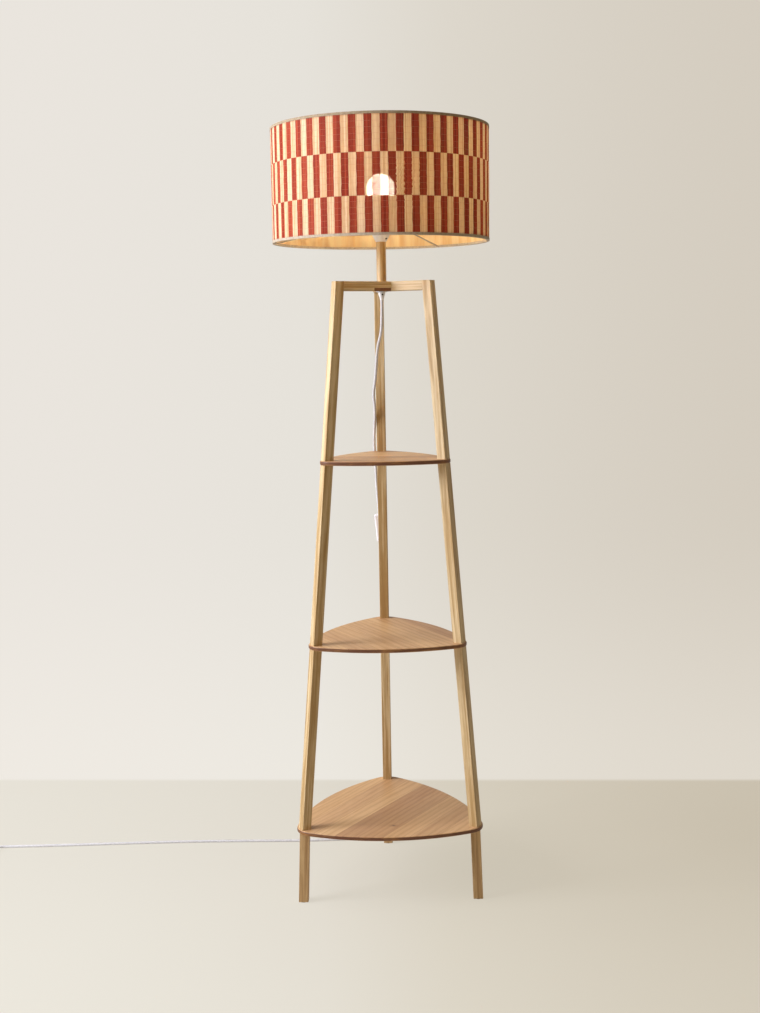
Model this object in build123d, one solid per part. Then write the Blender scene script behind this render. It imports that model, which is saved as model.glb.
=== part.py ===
from build123d import *
from math import atan2, cos, degrees, pi, radians, sin, tan
import os

os.makedirs("parts", exist_ok=True)

# A floor lamp whose three splayed legs carry three rounded triangular shelves.
# Millimetres and degrees. The origin is on the floor, on the lamp's axis; +Z is up and -Y is the front.

# ---- driving dimensions: wooden stand
bar = 20.0                  # square section of the arms and legs
edge_round = 1.2            # eased long edges of the bars
foot_height = 150.5         # floor to the underside of the lower shelf
lower_bay = 384.0           # clear height between the lower and middle shelves
middle_bay = 376.0          # clear height between the middle and top shelves
upper_bay = 346.5           # clear height between the top shelf and the arms
shelf_thickness = 9.0
shelf_edge_round = 2.8
shelf_overhang = 3.5        # how far a shelf's corner stands out past the leg's outer face
shelf_corner_share = 0.2    # corner radius as a share of the leg's distance from the axis
shelf_bulge_share = 0.785   # middle of a shelf's side, as a share of the same distance
arm_reach = 108.0           # axis to the leg's centre line, at the underside of the arms
leg_splay = 5.1
foot_splay = 2.3
foot_bar = 20.5             # square section of the feet
glide_thickness = 1.6
glide_inset = 2.2           # a glide's edge lies this far inside its foot's sides
lap_end = -14.0             # the right arm's tongue runs past the axis to this x
lap_recess = 1.5            # the tongue's face lies this far behind the left arm's face
arm_directions = {"rear": 90.0, "left": 210.0, "right": 330.0}

# ---- driving dimensions: fastenings of the stand
stud_radius = 3.0
stud_up = 15.0              # stud above a shelf's top
stud_down = 20.0            # stud below a shelf's underside
insert_radius = 4.5
insert_length = 12.0
thread_gap = 0.06           # radial room left for a thread that isn't drawn
dowel_radius = 4.0
dowel_in_arm = 18.0
dowel_in_leg = 12.0

# ---- driving dimensions: pole, tube and gland
pole_radius = 10.0
pole_height = 81.5          # top of the arms to the lamp holder
tube_radius = 5.0
tube_bore = 3.7
tube_gap = 0.15
tube_up = 12.0              # tube inside the lamp holder
washer_radius = 12.0
washer_thickness = 1.5
gland_radius = 7.0
gland_length = 16.5
gland_collar = 4.5          # straight part of the gland, under the washer
gland_tip_radius = 3.7
gland_thread = 5.5          # depth of the tube inside the gland
gland_screw_radius = 1.7
gland_screw_drop = 5.0      # below the gland's top
gland_screw_angle = 284.0
hub_nut_radius = 7.5        # across its corners, halved
hub_nut_height = 4.5
hub_nut_room = 0.3
cord_radius = 3.0
cord_gap = 0.1

# ---- driving dimensions: lamp holder
holder_foot_radius = 11.0
holder_cone_radius = 17.2
holder_radius = 18.0
holder_cone_height = 12.0
holder_cap_height = 26.0
holder_wall = 2.0
holder_floor = 5.0
holder_ledge_height = 20.0  # the core rests here inside the cap
holder_ledge = 2.5
core_height = 9.0
core_hole_radius = 1.5
core_hole_offset = 10.0
holder_shell_height = 34.0
holder_flange_reach = 5.5   # flange and clamp ring stand out this far past the holder
holder_flange_height = 14.0  # underside of the flange above the shell's lower end
holder_flange_thickness = 3.0
sleeve_bore = 13.5
sleeve_wall = 0.6
sleeve_height = 26.0
contact_thickness = 0.5
contact_rise = 1.7
contact_width = 5.0
clamp_ring_height = 7.0
holder_screw_radius = 1.7
holder_screw_angle = 318.0
holder_screw_rise = 6.0

# ---- driving dimensions: shade
shade_radius = 225.0        # outside of the edge tapes
shade_height = 231.2
panel_thickness = 1.2
wire_radius = 1.6
tape_thickness = 0.6
tape_width = 5.0
spider_drop = 44.0          # fitter ring above the bottom ring
spoke_angles = (57.0, 177.0, 297.0)
fitter_room = 1.3           # fitter ring's bore over the holder's radius
fitter_reach = 7.0          # fitter ring's rim over the holder's radius
holder_shell_step = 0.5     # the shell is this much larger in radius than the cap
fitter_thickness = 2.5
turning_gap = 0.3           # between bodies that move on each other

# ---- driving dimensions: bulb
bulb_length = 107.5
bulb_radius = 30.0
bulb_cap_radius = 13.2
bulb_contact_radius = 4.5
bulb_contact_height = 1.5
bulb_cap_height = 27.0      # underside of the contact to the top of the metal cap
bulb_glow_height = 61.0     # underside of the contact to the foot of the globe
bulb_wall = 1.2
bulb_belly = 16.5           # widest part of the globe above its foot
bulb_rim_radius = 26.5      # globe and housing where they meet

# ---- driving dimensions: in-line switch
switch_length = 64.0
switch_width = 23.0
switch_depth = 16.0
switch_wall = 1.6
switch_round = 4.0
switch_centre_height = 760.0
switch_centre_x = -15.6
switch_lean = 0.095         # sideways run of the switch's axis for each unit of height
switch_leg_gap = 2.0
rocker_length = 14.0
rocker_width = 9.0
rocker_depth = 7.0
rocker_proud = 1.6
rocker_tilt = 7.5
rocker_gap = 1.0
pivot_radius = 1.0
pivot_height = 3.6          # pivot above the switch's parting plane
switch_screw_radius = 1.25

# ---- driving dimensions: coil and plug
coil_radius = 34.0
coil_pitch = 6.5
coil_points = 58            # corners of the coil's path
coil_points_per_turn = 14
coil_lift = 1.2             # the tie passes under the lowest turn
coil_centre = (-992.0, 143.6)
tie_width = 8.0
tie_thickness = 0.8
tie_room = 0.35
tie_angle = 300.0
relief_length = 22.0
relief_tip_radius = 3.8
relief_root_radius = 5.2
plug_length = 35.0
plug_width = 22.0
plug_thickness = 13.0
plug_nose_width = 26.0
pin_radius = 2.0
pin_root_radius = 1.5       # inside the plug's body
pin_length = 19.0
pin_spacing = 18.6
pin_root = 10.0

# ---- sizes and heights worked out from the driving dimensions
holder_flange_radius = holder_radius + holder_flange_reach
clamp_ring_radius = holder_flange_radius
fitter_bore = holder_radius + fitter_room
fitter_radius = holder_radius + fitter_reach
lower_shelf_z = foot_height
middle_shelf_z = lower_shelf_z + shelf_thickness + lower_bay
top_shelf_z = middle_shelf_z + shelf_thickness + middle_bay
frame_bottom = top_shelf_z + shelf_thickness + upper_bay
frame_top = frame_bottom + bar
pole_top = frame_top + pole_height
cap_top = pole_top + holder_cap_height
core_bottom = pole_top + holder_ledge_height
core_top = core_bottom + core_height
flange_top = cap_top + holder_flange_height + holder_flange_thickness
fitter_bottom = flange_top + turning_gap
fitter_top = fitter_bottom + fitter_thickness
clamp_bottom = fitter_top + turning_gap
shade_bottom = fitter_bottom + fitter_thickness / 2 - spider_drop - wire_radius - tape_thickness
shade_top = shade_bottom + shade_height
contact_top = core_top + contact_rise
bulb_bottom = contact_top + turning_gap
tube_bottom = frame_bottom - washer_thickness - gland_thread
tube_top = pole_top + tube_up
gland_top = frame_bottom - washer_thickness
gland_tip = gland_top - gland_length
tube_hole = tube_radius + tube_gap
shelf_levels = (top_shelf_z, middle_shelf_z, lower_shelf_z)


def leg_distance(height):
    """Axis to the leg's centre line at a height, along the arm's direction."""
    return arm_reach + (frame_bottom - height) * tan(radians(leg_splay))


foot_top_distance = leg_distance(lower_shelf_z + shelf_thickness)


def foot_distance(height):
    return foot_top_distance + (lower_shelf_z - height) * tan(radians(foot_splay))


def turned(shape, angle):
    return Rot(0, 0, angle) * shape


def polygon(points):
    return Face(Wire.make_polygon([Vector(*p) for p in points], close=True))


def slab(points, z_low, z_high):
    """A flat plate of the given plan outline."""
    return extrude(polygon([(x, y, z_low) for x, y in points]), amount=z_high - z_low, dir=(0, 0, 1))


def lathe(points):
    """A turned solid from its half section, as (radius, height) points."""
    return revolve(polygon([(r, 0, z) for r, z in points]), Axis.Z)


def rod(radius, z_low, z_high, x=0.0, y=0.0):
    upright = Cylinder(radius, z_high - z_low, align=(Align.CENTER, Align.CENTER, Align.MIN))
    return Pos(x, y, z_low) * upright


def block(x_low, x_high, y_low, y_high, z_low, z_high):
    centre = Pos((x_low + x_high) / 2, (y_low + y_high) / 2, (z_low + z_high) / 2)
    return centre * Box(x_high - x_low, y_high - y_low, z_high - z_low)


def bar_between(start, end, radius):
    """A round bar between two points."""
    line = Vector(*end) - Vector(*start)
    upright = Cylinder(radius, line.length, align=(Align.CENTER, Align.CENTER, Align.MIN))
    return Plane(origin=start, z_dir=line).location * upright


def save(name, shapes):
    """One file for each sub-part; a group of like pieces shares a file."""
    solids = []
    for shape in shapes if isinstance(shapes, list) else [shapes]:
        solids += list(shape.solids())
    export_step(solids[0] if len(solids) == 1 else Compound(children=solids), f"parts/{name}.step")


# ---- legs: a bar's near side lies in the vertical plane through the axis, so the arms form a pinwheel

def leg_block(z_low, z_high):
    half = bar / 2 / cos(radians(leg_splay))
    outline = [(leg_distance(z_low) - half, 0, z_low), (leg_distance(z_low) + half, 0, z_low),
               (leg_distance(z_high) + half, 0, z_high), (leg_distance(z_high) - half, 0, z_high)]
    return extrude(polygon(outline), amount=bar, dir=(0, 1, 0))


def eased(solid):
    long_edges = [e for e in solid.edges() if e.length > 3 * bar]
    return fillet(long_edges, edge_round)


def stud_hole_in_top(shelf_z, distance):
    return rod(stud_radius, shelf_z - stud_down, shelf_z + 1, distance, bar / 2)


def insert_hole_in_foot(shelf_z, distance):
    top = shelf_z + shelf_thickness
    wide = rod(insert_radius, top - 1, top + insert_length, distance, bar / 2)
    deep = rod(stud_radius + thread_gap, top - 1, top + stud_up + 1, distance, bar / 2)
    return wide + deep


def upper_leg():
    z_low = top_shelf_z + shelf_thickness
    leg = eased(leg_block(z_low, frame_top)) - insert_hole_in_foot(top_shelf_z, leg_distance(z_low))
    return leg - corner_dowel()


def plain_leg(shelf_above, shelf_below):
    z_low = shelf_below + shelf_thickness
    leg = eased(leg_block(z_low, shelf_above))
    leg -= stud_hole_in_top(shelf_above, leg_distance(shelf_above + shelf_thickness))
    return leg - insert_hole_in_foot(shelf_below, leg_distance(z_low))


def foot(angle):
    """A square foot that leans out along its arm, while its sides stay square to the front."""
    half = foot_bar / 2
    x, y = plan_point(foot_distance(glide_thickness), bar / 2, angle)
    top_x, top_y = plan_point(foot_top_distance, bar / 2, angle)
    outline = [(x + i * half, y + j * half, glide_thickness) for i, j in ((-1, -1), (1, -1), (1, 1), (-1, 1))]
    lean = Vector(top_x - x, top_y - y, lower_shelf_z - glide_thickness)
    shape = eased(extrude(polygon(outline), amount=lean.length, dir=lean.normalized()))
    return shape - turned(stud_hole_in_top(lower_shelf_z, foot_top_distance), angle)


def glide():
    radius = foot_bar / 2 - glide_inset
    return rod(radius, 0, glide_thickness, foot_distance(glide_thickness), bar / 2)


# ---- arms: mitred to each other at the axis, butted and dowelled to the legs

frame_middle = (frame_bottom + frame_top) / 2
arm_end = leg_distance(frame_middle) - bar / 2 / cos(radians(leg_splay))
lap_height = bar / 3        # depth of the right arm's tongue


def corner_dowel():
    return bar_between((arm_end - dowel_in_arm, bar / 2, frame_middle),
                       (arm_end + dowel_in_leg, bar / 2, frame_middle), dowel_radius)


def beyond(angle, offset, z_low, z_high, side):
    """All space on one side of an arm's side plane; offset 0 is the plane through the axis."""
    far = 20 * bar
    near = sorted((offset, offset + side * far))
    return turned(block(-far, far, near[0], near[1], z_low, z_high), angle)


def tongue_cheek():
    """The part of the right arm's tongue that fills the notch under the left arm, in front of the tube."""
    far = 20 * bar
    cheek = turned(block(-3 * bar, 3 * bar, -bar, bar - lap_recess, frame_bottom, frame_bottom + lap_height),
                   arm_directions["left"])
    cheek &= beyond(arm_directions["right"], 0, frame_bottom - 1, frame_top, -1)
    return cheek & block(lap_end, far, -far, far, frame_bottom - 1, frame_top)


def arm(name):
    angle = arm_directions[name]
    low, step, high = frame_bottom - 1, frame_bottom + lap_height, frame_top + 1
    shape = eased(block(-3 * bar, leg_distance(frame_bottom), 0, bar, frame_bottom, frame_top))
    shape -= leg_block(frame_bottom - bar, frame_top + bar)
    shape = turned(shape - corner_dowel(), angle)
    far = 20 * bar
    if name == "right":
        shape -= block(-far, 0, -far, far, step, high)
        shape -= block(-far, lap_end, -far, far, low, step)
        shape += tongue_cheek()
    elif name == "left":
        shape -= beyond(arm_directions["right"], 0, step, high, 1)
        shape -= block(lap_end, far, -far, far, low, step)
    else:
        shape -= beyond(arm_directions["left"], 0, step, high, 1)
        shape -= beyond(arm_directions["right"], bar, low, step, -1)
    return shape - rod(tube_hole, low, high)


def plan_point(distance, offset, angle):
    """A point given along and across an arm, in plan."""
    c, s = cos(radians(angle)), sin(radians(angle))
    return (distance * c - offset * s, distance * s + offset * c)


# ---- shelves: rounded triangles with bowed sides, turned so that each corner is centred on its leg

def shelf(shelf_z):
    leg_at = leg_distance(shelf_z + shelf_thickness)
    corner = shelf_corner_share * leg_at
    corner_at = leg_at + bar / 2 + shelf_overhang - corner
    bulge = shelf_bulge_share * leg_at
    # the side's arc touches both corner circles from outside
    half_span = corner_at * sin(radians(60))
    drop = corner_at * cos(radians(60))
    back = (half_span ** 2 + drop ** 2 - (bulge - corner) ** 2) / (2 * (bulge - corner - drop))
    turn = degrees(atan2(bar / 2, leg_at))
    edges = []
    for angle in (90.0, 210.0, 330.0):
        here = radians(angle + turn)
        there = radians(angle + turn + 120)
        mid = radians(angle + turn + 60)
        centre = Vector(corner_at * cos(here), corner_at * sin(here))
        next_centre = Vector(corner_at * cos(there), corner_at * sin(there))
        arc_centre = Vector(-back * cos(mid), -back * sin(mid))
        leave = centre + (centre - arc_centre).normalized() * corner
        reach = next_centre + (next_centre - arc_centre).normalized() * corner
        before = Vector(-back * cos(mid - radians(120)), -back * sin(mid - radians(120)))
        enter = centre + (centre - before).normalized() * corner
        tip = Vector((corner_at + corner) * cos(here), (corner_at + corner) * sin(here))
        edges.append(Edge.make_three_point_arc(enter, tip, leave))
        edges.append(Edge.make_three_point_arc(leave, Vector(bulge * cos(mid), bulge * sin(mid)), reach))
    face = Face(Wire(edges))
    board = Pos(0, 0, shelf_z) * extrude(face, amount=shelf_thickness, dir=(0, 0, 1))
    rims = [e for e in board.edges() if abs(e.tangent_at(0.5).Z) < 0.1]
    board = fillet(rims, shelf_edge_round)
    for angle in arm_directions.values():
        x, y = plan_point(leg_at, bar / 2, angle)
        board -= rod(stud_radius + thread_gap, shelf_z - 1, shelf_z + shelf_thickness + 1, x, y)
    return board


# ---- studs and inserts that draw each leg down on its shelf

def studs():
    made = []
    for shelf_z in shelf_levels:
        for angle in arm_directions.values():
            x, y = plan_point(leg_distance(shelf_z + shelf_thickness), bar / 2, angle)
            made.append(rod(stud_radius, shelf_z - stud_down, shelf_z + shelf_thickness + stud_up, x, y))
    return made


def inserts():
    made = []
    for shelf_z in shelf_levels:
        top = shelf_z + shelf_thickness
        for angle in arm_directions.values():
            x, y = plan_point(leg_distance(top), bar / 2, angle)
            nut = rod(insert_radius, top, top + insert_length, x, y)
            made.append(nut - rod(stud_radius + thread_gap, top - 1, top + insert_length + 1, x, y))
    return made


# ---- pole, threaded tube, washer, gland and the cord inside

def pole():
    nut_room = rod(hub_nut_radius + hub_nut_room, frame_top - 1, frame_top + hub_nut_height + hub_nut_room)
    return rod(pole_radius, frame_top, pole_top) - rod(tube_hole, frame_top - 1, pole_top + 1) - nut_room


def hub_nut():
    hexagon = Pos(0, 0, frame_top) * extrude(RegularPolygon(hub_nut_radius, 6), amount=hub_nut_height)
    return hexagon - rod(tube_radius + thread_gap, frame_top - 1, frame_top + hub_nut_height + 1)


def threaded_tube():
    return rod(tube_radius, tube_bottom, tube_top) - rod(tube_bore, tube_bottom - 1, tube_top + 1)


def washer():
    return rod(washer_radius, gland_top, frame_bottom) - rod(tube_hole, gland_top - 1, frame_bottom + 1)


def gland_screw():
    inner = tube_radius + thread_gap
    height = gland_top - gland_screw_drop
    screw = bar_between((inner, 0, height), (gland_radius + 0.5, 0, height), gland_screw_radius)
    return turned(screw, gland_screw_angle)


def gland():
    shape = lathe([(tube_hole, gland_top), (gland_radius, gland_top),
                   (gland_radius, gland_top - gland_collar), (gland_tip_radius + 0.9, gland_tip + 5),
                   (gland_tip_radius, gland_tip), (cord_radius + cord_gap, gland_tip),
                   (cord_radius + cord_gap, tube_bottom - 0.3), (tube_hole, tube_bottom - 0.3)])
    return shape - gland_screw()


def inner_cord():
    return rod(cord_radius, gland_tip, tube_top + 4)


# ---- lamp holder

def holder_screw():
    height = pole_top + holder_screw_rise
    inner = tube_radius + thread_gap
    screw = bar_between((inner, 0, height), (holder_cone_radius - 1.0, 0, height), holder_screw_radius)
    return turned(screw, holder_screw_angle)


def holder_cap():
    inside = holder_radius - holder_wall
    ledge = inside - holder_ledge
    shape = lathe([(tube_hole, pole_top), (holder_foot_radius, pole_top),
                   (holder_cone_radius, pole_top + holder_cone_height),
                   (holder_radius, pole_top + holder_cone_height + 2), (holder_radius, cap_top),
                   (inside, cap_top), (inside, core_bottom), (ledge, core_bottom),
                   (ledge, pole_top + holder_cone_height), (tube_hole + 3.0, pole_top + holder_floor),
                   (tube_hole, pole_top + holder_floor)])
    return shape - holder_screw()


def holder_core():
    core = rod(holder_radius - holder_wall - 0.1, core_bottom, core_top)
    for side in (-1, 1):
        core -= rod(core_hole_radius, core_bottom - 1, core_top + 1, side * core_hole_offset, 0)
    return core


def holder_shell():
    inside = holder_radius - 1.5
    flange_bottom = flange_top - holder_flange_thickness
    top = cap_top + holder_shell_height
    outside = holder_radius + holder_shell_step
    return lathe([(inside, cap_top), (outside, cap_top), (outside, flange_bottom),
                  (holder_flange_radius, flange_bottom + 0.8), (holder_flange_radius, flange_top),
                  (holder_radius, flange_top), (holder_radius, top), (inside, top)])


def thread_sleeve():
    top = core_top + sleeve_height
    outside = sleeve_bore + sleeve_wall
    return lathe([(sleeve_bore, core_top), (outside, core_top), (outside, top), (sleeve_bore, top)])


def centre_contact():
    low, high, t = core_top, contact_top, contact_thickness
    outline = [(-9, low), (-4, low), (-1, high - t), (4, high - t), (4, high), (-1.3, high),
               (-4.3, low + t), (-9, low + t)]
    strip = polygon([(x, -contact_width / 2, z) for x, z in outline])
    return extrude(strip, amount=contact_width, dir=(0, 1, 0))


def clamp_ring():
    inside = holder_radius + 0.1
    top = clamp_bottom + clamp_ring_height
    ring = lathe([(inside, clamp_bottom), (clamp_ring_radius, clamp_bottom), (clamp_ring_radius, top - 1),
                  (clamp_ring_radius - 1, top), (inside, top)])
    for k in range(12):
        notch = rod(1.4, clamp_bottom + 2, top + 1, clamp_ring_radius + 0.6, 0)
        ring -= turned(notch, 30 * k)
    return ring


# ---- shade: woven panel between two wire rings, on a three-armed spider

panel_outside = shade_radius - tape_thickness
panel_inside = panel_outside - panel_thickness
ring_middle = panel_inside - wire_radius - 0.05
bottom_wire_z = shade_bottom + tape_thickness + wire_radius
top_wire_z = shade_top - tape_thickness - wire_radius


def wire_ring(height):
    section = Plane(origin=(ring_middle, 0, height), z_dir=(0, 1, 0)) * Circle(wire_radius)
    return revolve(section, Axis.Z)


def shade_panel():
    low, high = shade_bottom + tape_thickness, shade_top - tape_thickness
    return rod(panel_outside, low, high) - rod(panel_inside, low - 1, high + 1)


def edge_tape(rim, inward):
    """A tape folded over the panel's edge and its wire; inward points along Z into the shade."""
    outer, inner = shade_radius, ring_middle - wire_radius - tape_thickness - 0.05
    edge = rim + inward * tape_thickness
    skirt = rim + inward * tape_width
    return lathe([(inner, rim), (outer, rim), (outer, skirt), (panel_outside, skirt), (panel_outside, edge),
                  (inner + tape_thickness, edge), (inner + tape_thickness, skirt), (inner, skirt)])


def fitter_ring():
    return lathe([(fitter_bore, fitter_bottom), (fitter_radius, fitter_bottom), (fitter_radius, fitter_top),
                  (fitter_bore, fitter_top)])


def spokes():
    rim, hub = wire_ring(bottom_wire_z), fitter_ring()
    made = []
    for angle in spoke_angles:
        middle = fitter_bottom + fitter_thickness / 2
        run = ring_middle - fitter_radius
        near, far = 0.5 / run, (run - 0.8 * wire_radius) / run
        drop = bottom_wire_z - middle
        spoke = bar_between((fitter_radius - near * run, 0, middle - near * drop),
                            (fitter_radius + far * run, 0, middle + far * drop), wire_radius)
        made.append(turned(spoke, angle) - rim - hub)
    return made


# ---- bulb: screw cap, white housing and frosted globe

cap_edge = bulb_bottom + bulb_cap_height
glow_foot = bulb_bottom + bulb_glow_height
bulb_top = bulb_bottom + bulb_length


def bulb_contact():
    return rod(bulb_contact_radius, bulb_bottom, bulb_bottom + bulb_contact_height)


def bulb_cap():
    low = bulb_bottom + bulb_contact_height
    wall = 0.5
    return lathe([(0, low), (bulb_contact_radius + 1, low), (bulb_cap_radius - 2, low + 4),
                  (bulb_cap_radius, low + 6), (bulb_cap_radius, cap_edge),
                  (bulb_cap_radius - wall, cap_edge), (bulb_cap_radius - wall, low + 6.3),
                  (bulb_cap_radius - 2.5, low + 4.5), (bulb_contact_radius, low + 1.2), (0, low + 1.2)])


def bulb_housing():
    seat = bulb_cap_radius - 0.5
    rise = glow_foot - cap_edge
    rim = bulb_rim_radius
    return lathe([(seat - 1.5, cap_edge - 8), (seat, cap_edge - 8), (seat, cap_edge),
                  (bulb_cap_radius + 1, cap_edge), (bulb_cap_radius + 2, cap_edge + 0.15 * rise),
                  (rim - 6.2, cap_edge + 0.5 * rise), (rim - 2, cap_edge + 0.8 * rise),
                  (rim, glow_foot - 1), (rim, glow_foot), (rim - 2, glow_foot),
                  (rim - 4.2, cap_edge + 0.8 * rise), (rim - 8.4, cap_edge + 0.5 * rise),
                  (seat - 1.5, cap_edge + 0.2 * rise)])


def globe_section(inset):
    """Half section of the globe, drawn in from its outer skin by the inset."""
    belly = glow_foot + bulb_belly
    radius = bulb_radius - inset
    rim = bulb_rim_radius - inset
    top = bulb_top - inset
    ease = radius - rim
    curve = (ease ** 2 + bulb_belly ** 2) / (2 * ease)
    lower_mid = atan2(bulb_belly, curve - ease) / 2
    lower = Edge.make_three_point_arc(
        Vector(rim, 0, glow_foot),
        Vector(radius - curve + curve * cos(lower_mid), 0, belly - curve * sin(lower_mid)),
        Vector(radius, 0, belly))
    rise = top - belly
    tilt = radians(45)
    shoulder = Vector(radius * cos(tilt), 0, belly + rise * sin(tilt))
    crown = Edge.make_three_point_arc(Vector(radius, 0, belly), shoulder, Vector(0, 0, top))
    floor_line = Edge.make_line(Vector(0, 0, glow_foot), Vector(rim, 0, glow_foot))
    axis_line = Edge.make_line(Vector(0, 0, top), Vector(0, 0, glow_foot))
    return revolve(Face(Wire([floor_line, lower, crown, axis_line])), Axis.Z)


def bulb_globe():
    return globe_section(0) - globe_section(bulb_wall)


# ---- in-line switch, lying against the rear leg's back, in its own frame: X up its length, Z outwards

leg_back = leg_distance(switch_centre_height) + bar / 2 / cos(radians(leg_splay))
switch_stand_off = (switch_leg_gap + switch_depth / 2) / cos(radians(leg_splay))
switch_centre = Vector(switch_centre_x, leg_back + switch_stand_off, switch_centre_height)
switch_up = Vector(-switch_lean, -tan(radians(leg_splay)), 1).normalized()
leg_back_normal = Vector(0, cos(radians(leg_splay)), sin(radians(leg_splay)))
switch_out = (leg_back_normal - switch_up * leg_back_normal.dot(switch_up)).normalized()
switch_plane = Plane(origin=switch_centre, x_dir=switch_up, z_dir=switch_out)
post_spots = ((25.0, 6.4), (-25.0, -6.4))
post_radius = 2.9
screw_head_radius = 2.2
half_length = switch_length / 2
half_width = switch_width / 2
half_depth = switch_depth / 2


def placed(shape):
    return switch_plane.location * shape


def switch_case():
    """The closed case, hollowed, with its screw posts; split later at the parting plane."""
    case = block(-half_length, half_length, -half_width, half_width, -half_depth, half_depth)
    case = fillet(case.edges(), switch_round)
    w = switch_wall
    case -= block(-half_length + w, half_length - w, -half_width + w, half_width - w, -half_depth + w,
                  half_depth - w)
    for x, y in post_spots:
        case += rod(post_radius, -half_depth + w / 2, half_depth - w / 2, x, y)
    entry = bar_between((-half_length - 1, 0, 0), (half_length + 1, 0, 0), cord_radius + cord_gap)
    case -= entry
    for x, y in post_spots:
        case -= screw_shape(x, y)
    return case


def screw_shape(x, y):
    shank = rod(switch_screw_radius, -half_depth + 1.0, half_depth - 2 * switch_wall, x, y)
    return shank + rod(screw_head_radius, -half_depth, -half_depth + 1.4, x, y)


def switch_lower_shell():
    keep = block(-half_length, half_length, -half_width, half_width, -half_depth, 0)
    return placed(switch_case() & keep)


def switch_upper_shell():
    keep = block(-half_length, half_length, -half_width, half_width, 0, half_depth)
    shell = switch_case() & keep
    reach_x = rocker_length / 2 + rocker_gap
    reach_y = rocker_width / 2 + rocker_gap
    shell -= block(-reach_x, reach_x, -reach_y, reach_y, half_depth - 2 * switch_wall, half_depth + 1)
    for side in (-1, 1):
        near, far = sorted((side * reach_y, side * (reach_y + 2.4)))
        cheek = block(-2.6, 2.6, near, far, pivot_height - 2.4, half_depth - switch_wall)
        shell += cheek
    inside = half_width - switch_wall
    shell -= bar_between((0, -inside, pivot_height), (0, inside, pivot_height), pivot_radius + thread_gap)
    return placed(shell)


def rocker():
    half = rocker_length / 2
    top = half_depth + rocker_proud
    dip = top - 0.9
    low = top - rocker_depth
    outline = [(-half, top), (0, dip), (half, top), (half, low + 1), (half - 1, low), (1 - half, low),
               (-half, low + 1)]
    face = polygon([(x, -rocker_width / 2, z) for x, z in outline])
    body = extrude(face, amount=rocker_width, dir=(0, 1, 0))
    reach = rocker_width / 2 + rocker_gap + 1.6
    body += bar_between((0, -reach, pivot_height), (0, reach, pivot_height), pivot_radius)
    tilted = Pos(0, 0, pivot_height) * Rot(0, rocker_tilt, 0) * Pos(0, 0, -pivot_height) * body
    return placed(tilted)


def switch_contacts():
    floor = -half_depth + switch_wall
    made = []
    for side in (-1, 1):
        x_near, x_far = sorted((side * 4.0, side * 20.0))
        strip = block(x_near, x_far, -2, 2, floor, floor + 0.6)
        riser = sorted((side * 4.0, side * 4.6))
        made.append(placed(strip + block(riser[0], riser[1], -2, 2, floor, 0.6)))
    return made


def switch_screws():
    return [placed(screw_shape(x, y)) for x, y in post_spots]


# ---- cord: straight runs joined by arcs

def path_through(corners, label):
    points = [Vector(*c) for c in corners]
    runs = [(b - a).length for a, b in zip(points, points[1:])]
    radii = []
    for a, b, c in zip(points, points[1:], points[2:]):
        turn = (b - a).get_angle(c - b)
        radii.append(0.45 * min((b - a).length, (c - b).length) / tan(radians(turn / 2)))
    line = FilletPolyline(*points, radius=radii)
    print(label, "corners", len(points), "shortest run", round(min(runs), 1),
          "longest", round(max(runs), 1), "least radius", round(min(radii), 1),
          "length", round(line.length, 1))
    return line


def tube(corners, label):
    line = path_through(corners, label)
    section = Plane(origin=line @ 0, z_dir=line % 0) * Circle(cord_radius)
    solid = sweep(section, path=line)
    expected = line.length * pi * cord_radius ** 2
    print(label, "volume", round(solid.volume), "expected", round(expected))
    return solid


def along_switch(distance):
    p = switch_centre + switch_up * distance
    return (p.X, p.Y, p.Z)


upper_corners = [
    (0.0, 0.0, gland_tip), (0.0, 0.0, 1238.0), (-2.4, 1.0, 1196.0), (-11.0, 27.0, 1172.0),
    (-15.5, 62.0, 1138.0), (-19.5, 90.0, 1097.0), (-25.5, 104.0, 1066.0), (-21.5, 113.0, 1033.0),
    (-24.6, 128.0, 988.0),
    (-26.5, 146.0, 950.0), (-25.0, 159.0, 915.0), (-23.4, 167.0, 862.0), along_switch(half_length + 22.0),
    along_switch(half_length - 8.0)]

floor_z = cord_radius
lower_corners = [
    along_switch(8.0 - half_length), along_switch(-half_length - 24.0), (-8.8, 183.0, 650.0),
    (-9.6, 189.5, 592.0), (-10.0, 194.0, 540.0), (-9.6, 199.5, 468.0), (-10.2, 206.5, 392.0),
    (-9.8, 214.5, 315.0), (-10.2, 222.5, 238.0), (-10.5, 229.0, 160.0), (-11.5, 233.0, 84.0),
    (-16.0, 235.0, floor_z), (-90.0, 228.0, floor_z), (-165.0, 220.0, floor_z), (-240.0, 216.0, floor_z),
    (-325.0, 215.4, floor_z), (-410.0, 214.2, floor_z), (-497.0, 211.0, floor_z), (-583.0, 205.0, floor_z),
    (-668.0, 198.2, floor_z), (-752.0, 191.4, floor_z), (-838.0, 185.4, floor_z), (-922.0, 180.4, floor_z)]


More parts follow.
